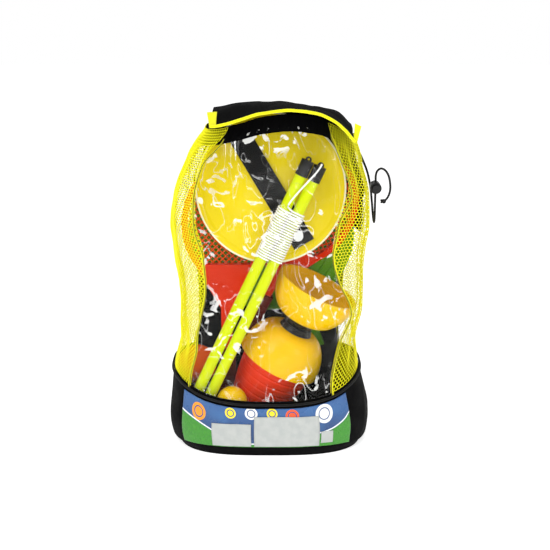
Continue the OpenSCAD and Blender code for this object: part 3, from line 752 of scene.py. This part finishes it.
def make_piping():
    t = np.linspace(TUB_SEAM, TUB_SEAM + 360, 260)
    path = walls(t, base_top(t) - 0.003, 0.0017)
    path = path + np.array([0, 0, 1]) * 0.0004 * fractal(path, 60, 2, 4.0)[:, None]
    pipe = sweep("rim_piping", path, 0.0013, 10)
    piece(pipe, woven("piping_cloth", rgb(14, 14, 15), 0.0005, sheen=0.1), "black_piping",
              "base_piping")


def label_grid(t0, t1, low, high, out, rows, cols):
    """A patch of the base's front, over its folds."""
    grid = panel_grid(lambda v: t0, lambda v: t1,
                      lambda t, v: low(t) + (high(t) - low(t)) * v, rows, cols)
    return lifted(grid, out + tub_relief(grid))


def make_label():
    grid = label_grid(-140, -46, lambda t: 0.012 + 0 * t, lambda t: base_top(t) - 0.0075,
                      0.0014, 40, 150)
    grid = lifted(grid, 0.0003 * creases(grid, 45, 2.0))
    label = sheet_object("label_print", grid, 0.0007)
    piece(label, label_material(), "label_print", "label_panel")


# each sticker's angles in degrees and its lower and upper edge in mm
STICKERS = ((-114, -94, 13, 40), (-93, -70, 13, 49), (-69, -61, 16, 30))


def make_stickers():
    paper = sticker_material()
    for i, (t0, t1, low, high) in enumerate(STICKERS):
        grid = label_grid(t0, t1, lambda t: low * MM + 0 * t, lambda t: high * MM + 0 * t,
                          0.0022, 22, 26)
        grid = lifted(grid, 0.0004 * fractal(grid, 70, 2, 9.0 + i))
        sticker = sheet_object("blank_sticker_%d" % (i + 1), grid, 0.0004)
        piece(sticker, paper, "sticker_paper")
    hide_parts("blank_stickers")


def bag_z(t, v):
    """Heights of the film and back cloth, sewn in a little way at both ends."""
    return body_z(t, -0.012 + 1.03 * v)


def shares_of(grid):
    """Shares across and up a grid, as a row and a column."""
    rows, cols = grid.shape[:2]
    return np.linspace(0, 1, cols)[None, :], np.linspace(0, 1, rows)[:, None]


def calm_edges(grid, across, up):
    """1 inside a grid, easing to 0 at its edges."""
    u, v = shares_of(grid)
    return ramp(v * up) * ramp((1 - v) * up) * ramp(u * across) * ramp((1 - u) * across)


def net_folds(grid, seed, depth, count):
    """Gathers that run up the net, deepest half way."""
    u, v = shares_of(grid)
    wave = np.sin(2 * math.pi * (count * u + 0.35 * np.sin(3.1 * v + seed)) + seed)
    return calm_edges(grid, 8, 7) * (depth * wave + 0.0014 * fractal(grid, 22, 3, seed))


def net_z(t, v):
    """Heights of the nets, which reach up to the mouth's rim."""
    low = base_top(t)
    return low - 0.003 + v * (collar_top(t) - low + 0.002)


# pitch, thread, pitch of the rows, and how far the rows waver
DENSE_MESH = (0.0035, 0.00115, 0.0028, 0.006)
WIDE_MESH = (0.0039, 0.0009, 0.0031, 0.01)


def make_net(name, node, t0, t1, seed, depth, count, shape, mat, most_out):
    """A net side, from angle t0 to t1, with gathers that stand out by most_out at most."""
    grid = panel_grid(t0, t1, net_z, 90, 60, lambda v: -0.0006 + 0.0018 * ramp((v - 0.86) / 0.06))
    grid = lifted(grid, np.minimum(net_folds(grid, seed, depth, count), most_out))
    net = net_object(name, grid, *shape)
    return piece(net, mat, "yellow_net", node)


def make_film():
    """The clear front, with slanting folds and sharp creases."""
    grid = panel_grid(seam_left, seam_right, bag_z, 190, 170, lambda v: -0.0003)
    slanted = grid @ np.array([[0.9, 0, 0.42], [0, 1, 0], [-0.3, 0, 0.7]])
    folds = (0.0016 * np.abs(fractal(grid, 14, 2, 1.0)) + 0.0015 * creases(slanted, 15, 5.0)
             + 0.0004 * creases(grid, 38, 11.0))
    film = sheet_object("clear_film", lifted(grid, calm_edges(grid, 12, 9) * folds), 0.0003)
    return piece(film, film_material(), "clear_film", "window_film")


def make_back():
    grid = panel_grid(lambda v: BACK_RIGHT, lambda v: BACK_LEFT + 360, bag_z, 70, 60,
                      lambda v: -0.0004)
    folds = ramp(shares_of(grid)[1] * 8) * (0.0014 * fractal(grid, 14, 3, 13.0) - 0.0006)
    back = sheet_object("back_cloth", lifted(grid, np.minimum(folds, 0.0003)), 0.0009)
    return piece(back, black_cloth, "black_fabric", "back_panel")


def make_collar():
    grid = panel_grid(lambda v: BACK_LEFT, lambda v: BACK_LEFT + 360,
                      lambda t, v: collar_top(t) - COLLAR_H * (1 - v), 12, 260)
    u, v = shares_of(grid)
    gathers = 0.0006 * np.sin(2 * math.pi * 46 * u + 0.8 * np.sin(9 * u * math.pi)) * ramp(v * 3)
    grid = lifted(grid, gathers)
    grid[:, -1] = grid[:, 0]
    collar = sheet_object("mouth_cloth", grid, 0.0013, closed=True)
    return piece(collar, black_lining, "black_fabric", "mouth_collar")


def seam_strip(name, seam, half_angle, mat, slot="yellow_net"):
    grid = panel_grid(lambda v: seam(v) - half_angle, lambda v: seam(v) + half_angle, bag_z,
                      110, 6, lambda v: 0.0006)
    grid = lifted(grid, 0.0005 * fractal(grid, 60, 2, 31.0))
    strip = sheet_object(name, grid, 0.0009)
    return piece(strip, mat, slot)


def seam_thread(name, seam):
    """The dark line of stitches that holds the film to the net."""
    v = np.linspace(0, 1, 220)
    t = np.array([seam(k) for k in v])
    path = walls(t, bag_z(t, v), 0.0009)
    path = path + np.array([1, 0, 0]) * 0.0003 * np.sin(v * 700)[:, None]
    thread = sweep(name, path, 0.00035, 6, up=(0, 1, 0.1))
    return piece(thread, draw_cord_mat, "black_cord")


tub = make_tub()
make_piping()
make_label()
make_stickers()
film = make_film()
# the left net takes the brighter thread, painted light
net_left = make_net("net_left_knit", "net_left", lambda v: BACK_LEFT, seam_left, 0.7, 0.0012, 4,
                    DENSE_MESH, net_yellow_painted_lit, 0.003)
net_right = make_net("net_right_knit", "net_right", seam_right, lambda v: BACK_RIGHT, 2.1, 0.0022,
                     5, WIDE_MESH, net_yellow, 0.0005)
back_cloth = make_back()


def make_shoulder_shade_sheet():
    """A black sheet inside the net of the right shoulder: painted shade, standing in for the dark
    inside of the bag seen through the net.
    """
    grid = panel_grid(lambda v: 8 - 40 * ramp((v - 0.3) / 0.7), lambda v: 44,
                      lambda t, v: body_z(t, 0.60 + 0.4 * v), 30, 30, lambda v: -0.0042)
    grid = lifted(grid, -0.0008 * np.abs(fractal(grid, 22, 2, 17.0)))
    lining = sheet_object("shoulder_lining", grid, 0.0008)
    return piece(lining, black_lining, "black_fabric")


shoulder_shade_sheet = make_shoulder_shade_sheet()
collar = make_collar()
seam_strips = [seam_strip("film_seam_left", lambda v: seam_left(v) - 0.8, 0.9, net_yellow),
               seam_strip("film_seam_right", lambda v: seam_right(v) + 0.8, 0.9, net_yellow),
               seam_thread("film_thread_left", seam_left),
               seam_thread("film_thread_right", seam_right),
               seam_strip("back_seam_right", lambda v: BACK_RIGHT, 1.6, black_cloth,
                          slot="black_fabric"),
               seam_strip("back_seam_left", lambda v: BACK_LEFT + 360, 1.6, black_cloth,
                          slot="black_fabric")]


# ---- the hood
HOOD_LEFT = -0.061
HOOD_RIGHT = 0.092
HOOD_FRONT = 0.058
HOOD_BACK = 0.0465
CROWN = ((-61, -10, 12, 30, 48, 62, 78, 92), (5, 7.5, 5.5, 2.5, 1.5, 4, 9.5, 10.5))


def hood_z(x, y):
    """The hood's height: from the arch in front to the hinge behind, crowned between them."""
    w = ramp((y + 0.010) / 0.055)
    rise = np.interp(x / MM, *CROWN) * MM
    crown = rise * np.maximum(0, 1 - ((y + 0.005) / 0.052) ** 2)
    peak = 0.009 * ramp(-x / 0.045) * ramp((y + HOOD_FRONT) / 0.03)
    return arch(x) * (1 - w) + hood_back_z(x) * w + crown + peak * (1 - w)


def make_hood():
    x, y = np.meshgrid(np.linspace(HOOD_LEFT, HOOD_RIGHT, 90),
                       np.linspace(-HOOD_FRONT, HOOD_BACK, 64))
    grid = np.stack([x, y, hood_z(x, y)], -1)
    calm = ramp((y + HOOD_FRONT) / 0.01) * ramp((HOOD_BACK - y) / 0.012)
    grid = lifted(grid, calm * (0.0010 * fractal(grid, 20, 3, 2.0)
                                - 0.0010 * creases(grid, 14, 6.0)))
    skirt = [np.stack([x[0], 0 * x[0] + y_at, hood_back_z(x[0]) - drop], -1)
             for y_at, drop in ((0.0482, 0.0004), (0.0490, 0.0022), (0.0492, 0.0060))]
    grid = np.concatenate([grid, skirt])
    hood = sheet_object("hood_cloth", grid, 0.0013)
    assign(hood, black_cloth)
    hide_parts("hood")
    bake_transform(hood)
    return hood


def make_binding():
    """The yellow binding along the hood's front edge."""
    x = np.linspace(HOOD_LEFT - 0.001, HOOD_RIGHT + 0.001, 140)
    path = np.stack([x, np.full_like(x, -HOOD_FRONT - 0.0012),
                     hood_z(x, -HOOD_FRONT + 0 * x) - 0.0006], -1)
    path[:, 2] += 0.0004 * fractal(path, 55, 2, 8.0)
    strip = sweep("hood_edge_binding", path, 0.0018, 14, up=(0, 1, 0), flat=(0.0017, 0.0014))
    return piece(strip, yellow_binding, "yellow_binding", "hood_binding", body="hood")


def make_tab(name, corners, seed):
    """A small net flap at a side edge of the hood, from its four corners."""
    a, b, c, d = (np.array(p, float) * MM for p in corners)
    u = np.linspace(0, 1, 9)[None, :, None]
    v = np.linspace(0, 1, 13)[:, None, None]
    grid = (a * (1 - u) + b * u) * (1 - v) + (d * (1 - u) + c * u) * v
    grid = lifted(grid, 0.0008 * fractal(grid, 90, 2, seed))
    tab = sheet_object(name, grid, 0.0012)
    return piece(tab, yellow_binding, "yellow_net", body="hood")


hood = make_hood()
binding = make_binding()
tab_left = make_tab("hood_tab_left", ((-63, -58.5, 371), (-56, -58.5, 373),
                                      (-55.5, -40, 386), (-66, -44, 386)), 1.0)
tab_right = make_tab("hood_tab_right", ((90.5, -58.5, 355), (94.5, -58.5, 354.5),
                                        (100.0, -46, 371), (93.0, -44, 374)), 5.0)
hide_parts("hood_tabs")


# ---- carrying straps
STRAP_LOW, STRAP_HIGH, STRAP_Y, STRAP_X = 0.070, 0.334, 0.08685, 0.048
STRAP_SECTION = (0.011, 0.0011)
LOOP_R, LOOP_Z = 0.0162, 0.318
LOOP_SECTION = (0.0011, 0.009)


def back_y(x, z):
    """Depth of the bag's back wall."""
    a = HALF_W * (share(z, 1) if x < 0 else share(z, 2))
    return HALF_D * share(z, 4) * (1 - (abs(x) / a) ** SQUARE) ** (1 / SQUARE)


def make_strap(name, node, x):
    z = np.linspace(STRAP_LOW, STRAP_HIGH, 90)
    w = ramp((z - STRAP_LOW) / 0.026) * ramp((STRAP_HIGH - z) / 0.052)
    half = STRAP_SECTION[0]
    wall_at = np.maximum(back_y(x - half, z), back_y(x + half, z)) + 0.0007
    path = np.stack([np.full_like(z, x), wall_at * (1 - w) + STRAP_Y * w + 0.0012, z], -1)
    strap = sweep(name, path, 1.0, 20, up=(0, 1, 0), flat=STRAP_SECTION)
    piece(strap, black_webbing, "black_webbing", node)


def make_loop():
    y0 = HALF_D * float(share(LOOP_Z - LOOP_SECTION[1], 4)) + 0.0005
    a = np.linspace(0, math.pi, 40)
    path = np.stack([LOOP_R * np.cos(a), y0 + LOOP_R * np.sin(a), LOOP_Z + 0 * a], -1)
    loop = sweep("grab_loop_webbing", path, 1.0, 20, flat=LOOP_SECTION)
    piece(loop, black_webbing, "black_webbing", "grab_loop")


make_strap("strap_left_webbing", "strap_left", -STRAP_X)
make_strap("strap_right_webbing", "strap_right", STRAP_X)
make_loop()

# ---- the catch disc's soft pieces
HAND_TURN = math.radians(31)
HAND_HALF, PAD_AT, PAD_WIDE, PAD_TALL = 73, 66.5, 11.2, 6.3
PILE_R, PILE_Z = 73.5, -4.6
DISC_OUT = put(ON_DISC, [0, 0, 1]) - put(ON_DISC, [0, 0, 0])


def make_hand_strap():
    """The strap across the catch disc, with a stitched pad at each end."""
    y = np.linspace(-HAND_HALF, HAND_HALF, 100)
    rise = -0.8 + 2.6 * ramp((HAND_HALF - np.abs(y) - 14) / 30) + 1.0 + 0.15 * np.sin(y / 7)
    s, c = math.sin(HAND_TURN), math.cos(HAND_TURN)
    path = put(ON_DISC, np.stack([-y * s, y * c, rise], -1) * MM)
    strap = sweep("hand_strap_webbing", path, 1.0, 20, up=DISC_OUT, flat=(0.0125, 0.0009))
    piece(strap, black_webbing, "black_webbing", "catch_disc_strap")
    for end in (-1, 1):
        mid = end * PAD_AT
        u, v = np.meshgrid(np.linspace(-PAD_WIDE, PAD_WIDE, 20),
                           np.linspace(-PAD_TALL, PAD_TALL, 12))
        x, yy = u * c - (v + mid) * s, u * s + (v + mid) * c
        grid = put(ON_DISC, np.stack([x, yy, np.full_like(x, 2.05)], -1) * MM)
        pad = sheet_object("hand_strap_end_%s" % ("low" if end < 0 else "high"), grid, 0.0007)
        piece(pad, felt_black, "pile_fabric")
    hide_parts("catch_disc_strap_pads")


def make_pile():
    """The disc's felt face, on its far side."""
    r = np.linspace(0.001, PILE_R, 26)[::-1, None]
    t = np.linspace(0, 2 * math.pi, 97)[None, :]
    flat = np.stack([r * np.cos(t), r * np.sin(t), PILE_Z + 0 * r * t], -1)
    grid = put(ON_DISC, flat * MM)
    grid = grid + DISC_OUT * (0.0003 * fractal(grid, 300, 2, 3.0))[..., None]
    grid[:, -1] = grid[:, 0]
    pile = sheet_object("catch_pile_felt", grid, 0.002, closed=True,
                        inner=grid + DISC_OUT * 0.0019)
    piece(pile, felt_black, "pile_fabric", "catch_disc_pile")


def make_soft_ball():
    """A foam ball, a little uneven and finely pitted."""
    radius, middle = 0.023, Vector((-0.084, -0.015, 0.088))
    bm = bmesh.new()
    bmesh.ops.create_icosphere(bm, subdivisions=5, radius=radius)
    for vert in bm.verts:
        p = vert.co.copy()
        pit = max(0, noise.noise(p * 420)) * 0.0005
        vert.co = p * (1 + 0.012 * noise.noise(p * 60) - pit / radius) + middle
    ball = bmesh_object("soft_ball_foam", bm)
    foam = plastic("orange_foam_cells", rgb(232, 98, 28), 0.9, 0.2, spec=0.2, grain=0.0002)
    piece(ball, foam, "orange_foam", "soft_ball")


make_hand_strap()
make_pile()
make_soft_ball()

# ---- the rackets' strings
# half axes of the head's opening and its lower end, in mm on the racket
RACKET_A, RACKET_B, THROAT_Y = 43.0, 63.0, -48.0
BARS, BAR_PITCH = 14, 5.4
BAR_SECTION = ((-0.8, 0), (-0.48, 0.9), (0.48, 0.9), (0.8, 0), (0.48, -0.9), (-0.48, -0.9))
ON_LEFT_RACKET = matrix_of((-49.6, -1.4, 252), (98, "X"))
ON_RIGHT_RACKET = matrix_of((50, 19.2, 262), (100, "X"), (-27, "Z"))


def bar_ends(angle, offset):
    """Where a string at that angle and offset crosses the head's opening, or None."""
    d = np.array([math.cos(angle), math.sin(angle)])
    o = np.array([-d[1], d[0]]) * offset
    a = (d[0] / RACKET_A) ** 2 + (d[1] / RACKET_B) ** 2
    b = 2 * (o[0] * d[0] / RACKET_A ** 2 + o[1] * d[1] / RACKET_B ** 2)
    c = (o[0] / RACKET_A) ** 2 + (o[1] / RACKET_B) ** 2 - 1
    if b * b - 4 * a * c <= 0:
        return None
    ends = sorted((-b + sign * math.sqrt(b * b - 4 * a * c)) / (2 * a) for sign in (-1, 1))
    cut = (THROAT_Y - o[1]) / d[1]
    ends = [max(ends[0], cut), ends[1]] if d[1] > 0 else [ends[0], min(ends[1], cut)]
    return (o + d * ends[0], o + d * ends[1], d) if ends[1] - ends[0] > 2 else None


def racket_strings(name, node, matrix):
    """Two crossing layers of moulded strings, each a bar with a rounded top."""
    verts, faces = [], []
    for angle in (math.pi / 4, -math.pi / 4):
        for k in range(-BARS, BARS + 1):
            ends = bar_ends(angle, k * BAR_PITCH)
            if ends is None:
                continue
            side = np.array([-ends[2][1], ends[2][0]])
            first = len(verts)
            for end in ends[:2]:
                for across, lift in BAR_SECTION:
                    p = end + side * across
                    verts.append((p[0], p[1], lift))
            faces += [[first + i, first + (i + 1) % 6, first + 6 + (i + 1) % 6, first + 6 + i]
                      for i in range(6)]
            faces += [[first + i for i in range(5, -1, -1)], [first + 6 + i for i in range(6)]]
    obj = mesh_object(name, put(matrix, np.array(verts) * MM), faces, smooth=False)
    piece(obj, orange_plastic, "red_net", node)


racket_strings("racket_left_strings", "racket_left_net", ON_LEFT_RACKET)
racket_strings("racket_right_strings", "racket_right_net", ON_RIGHT_RACKET)


# ---- the part's other nodes
for names, mat in (
        (("adjuster_left", "adjuster_right", "cord_anchor", "cord_lock_body", "cord_lock_button",
          "stick_top_caps", "diabolo_hubs"), black_plastic),
        (("diabolo_axle",), steel),
        (("catch_disc",), yellow_plastic), (("catch_disc_rim",), cream_plastic),
        (("stick_left", "stick_right", "stick_bottom_plugs"), lime_plastic),
        (("diabolo_cup_top", "diabolo_cup_bottom"), cup_plastic),
        (("ribbed_cup", "racket_left", "racket_right"), red_plastic),
        (("racket_left_grip", "racket_right_grip"), red_grip_painted_shade),
        (("play_ball",), ball_plastic), (("green_bat",), green_plastic)):
    for node in names:
        dress(node, mat)


def make_spring():
    """The cord lock's coil spring, which the button flattens against the lock's closed end."""
    low, high, radius, turns = 0.01195, 0.01555, 0.00315, 3
    lock_x, lock_z = 0.1225, 0.294
    k = np.linspace(0, 1, turns * 28 + 1)
    a = 2 * math.pi * turns * k
    path = np.stack([lock_x + radius * np.cos(a), low + (high - low) * k,
                     lock_z + radius * np.sin(a)], -1)
    spring = sweep("lock_spring_coil", path, 0.00035, 8, up=(0, 1, 0))
    piece(spring, steel, "spring_steel", "cord_lock_spring", body="cord_lock")
    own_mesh(spring)


make_spring()

# ---- stage and light
def area_light(name, place, aim, size, power):
    data = bpy.data.lights.new(name, "AREA")
    data.shape = "RECTANGLE"
    data.size, data.size_y = size
    data.energy = power
    lamp = bpy.data.objects.new(name, data)
    lamp.location = place
    lamp.rotation_euler = (Vector(aim) - Vector(place)).to_track_quat("-Z", "Y").to_euler()
    bpy.context.scene.collection.objects.link(lamp)


def make_stage():
    """White floor and world, both outside the object."""
    bm = bmesh.new()
    bmesh.ops.create_grid(bm, x_segments=8, y_segments=8, size=6)
    floor = bmesh_object("studio_floor", bm)
    mat, nt, bsdf = blank("studio_paper")
    bsdf.inputs["Base Color"].default_value = (0.93, 0.93, 0.93, 1)
    bsdf.inputs["Roughness"].default_value = 0.9
    bsdf.inputs["Specular IOR Level"].default_value = 0.1
    bsdf.inputs["Emission Color"].default_value = (1, 1, 1, 1)
    bsdf.inputs["Emission Strength"].default_value = 0.62
    assign(floor, mat)
    world = bpy.data.worlds.new("studio")
    world.use_nodes = True
    bpy.context.scene.world = world
    wt = world.node_tree
    back = wt.nodes["Background"]
    back.inputs["Color"].default_value = (1, 1, 1, 1)
    ray = add(wt, "LightPath").outputs
    seen = maths(wt, "MAXIMUM", ray["Is Camera Ray"], ray["Is Transmission Ray"])
    strength = add(wt, "MapRange", {"Value": seen, "To Min": 0.5, "To Max": 1.0})
    wt.links.new(strength.outputs["Result"], back.inputs["Strength"])
    bpy.context.scene.view_settings.view_transform = "Standard"


area_light("key", (-0.9, -1.3, 1.5), (0, 0, 0.2), (0.7, 0.9), 11)
area_light("fill", (1.3, -1.1, 0.9), (0, 0, 0.2), (0.5, 1.1), 5)
area_light("top", (-0.1, -0.5, 1.7), (0, 0, 0.2), (1.2, 0.9), 10)
area_light("low_front", (0.1, -1.7, 0.35), (0, 0, 0.15), (1.0, 0.35), 2.5)
make_stage()
